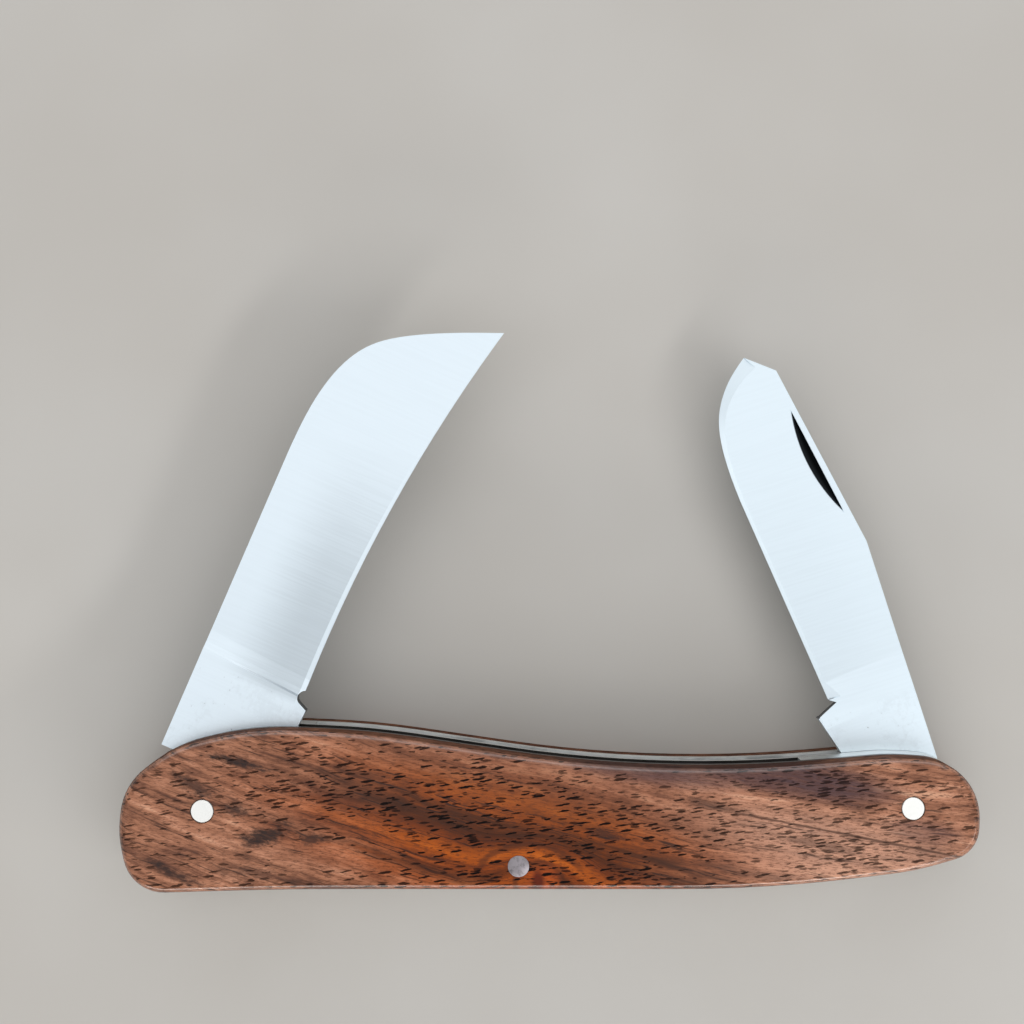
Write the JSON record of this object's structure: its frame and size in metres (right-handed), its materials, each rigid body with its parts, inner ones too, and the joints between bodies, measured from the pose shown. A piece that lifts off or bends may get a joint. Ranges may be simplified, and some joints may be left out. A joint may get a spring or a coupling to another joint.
{
  "type": "folding pocket knife",
  "caption": "Slip-joint pocket knife with dark hardwood scales: a hawkbill blade at one end and a spey blade at the other, each on its own back spring, stored half open.",
  "frame": {"origin": "on the flat outer face of the rear scale, halfway along the handle and level with the hawkbill blade's pivot", "axes": "+X along the handle from the hawkbill's end to the spey's end, +Y towards the side the blades come out of, +Z through the handle from the rear scale to the front one"},
  "size_m": [0.0972, 0.0636, 0.0147],
  "materials": {
    "scale_wood": "polished and waxed",
    "blade_steel": "fine satin",
    "spring_steel": "satin",
    "liner_steel": "satin",
    "pivot_pin_metal": "ground flush and polished",
    "centre_pin_steel": "peened and buffed",
    "bearing_bronze": "turned"
  },
  "bodies": {
    "handle": {"front_scale": "scale_wood", "front_liner": "liner_steel", "centre_liner": "liner_steel", "rear_liner": "liner_steel", "rear_scale": "scale_wood", "hawkbill_spring": "spring_steel", "spey_spring": "spring_steel", "hawkbill_pivot_pin": "pivot_pin_metal", "spey_pivot_pin": "pivot_pin_metal", "centre_pin": "centre_pin_steel", "hawkbill_bushing": "bearing_bronze", "hawkbill_rear_washer": "bearing_bronze", "hawkbill_front_washer": "bearing_bronze", "spey_bushing": "bearing_bronze", "spey_rear_washer": "bearing_bronze", "spey_front_washer": "bearing_bronze"},
    "hawkbill": {"hawkbill_blade": "blade_steel"},
    "spey": {"spey_blade": "blade_steel"}
  },
  "joints": [
    {"name": "hawkbill_fold", "type": "hinge", "parent": "handle", "child": "hawkbill", "pos_m": [-0.0391, 0, 0.0088], "axis": [0, 0, 1], "range_deg": [-63, 113.4]},
    {"name": "spey_fold", "type": "hinge", "parent": "handle", "child": "spey", "pos_m": [0.0409, 0.0003, 0.0056], "axis": [0, 0, -1], "range_deg": [-68.5, 108]}
  ]
}
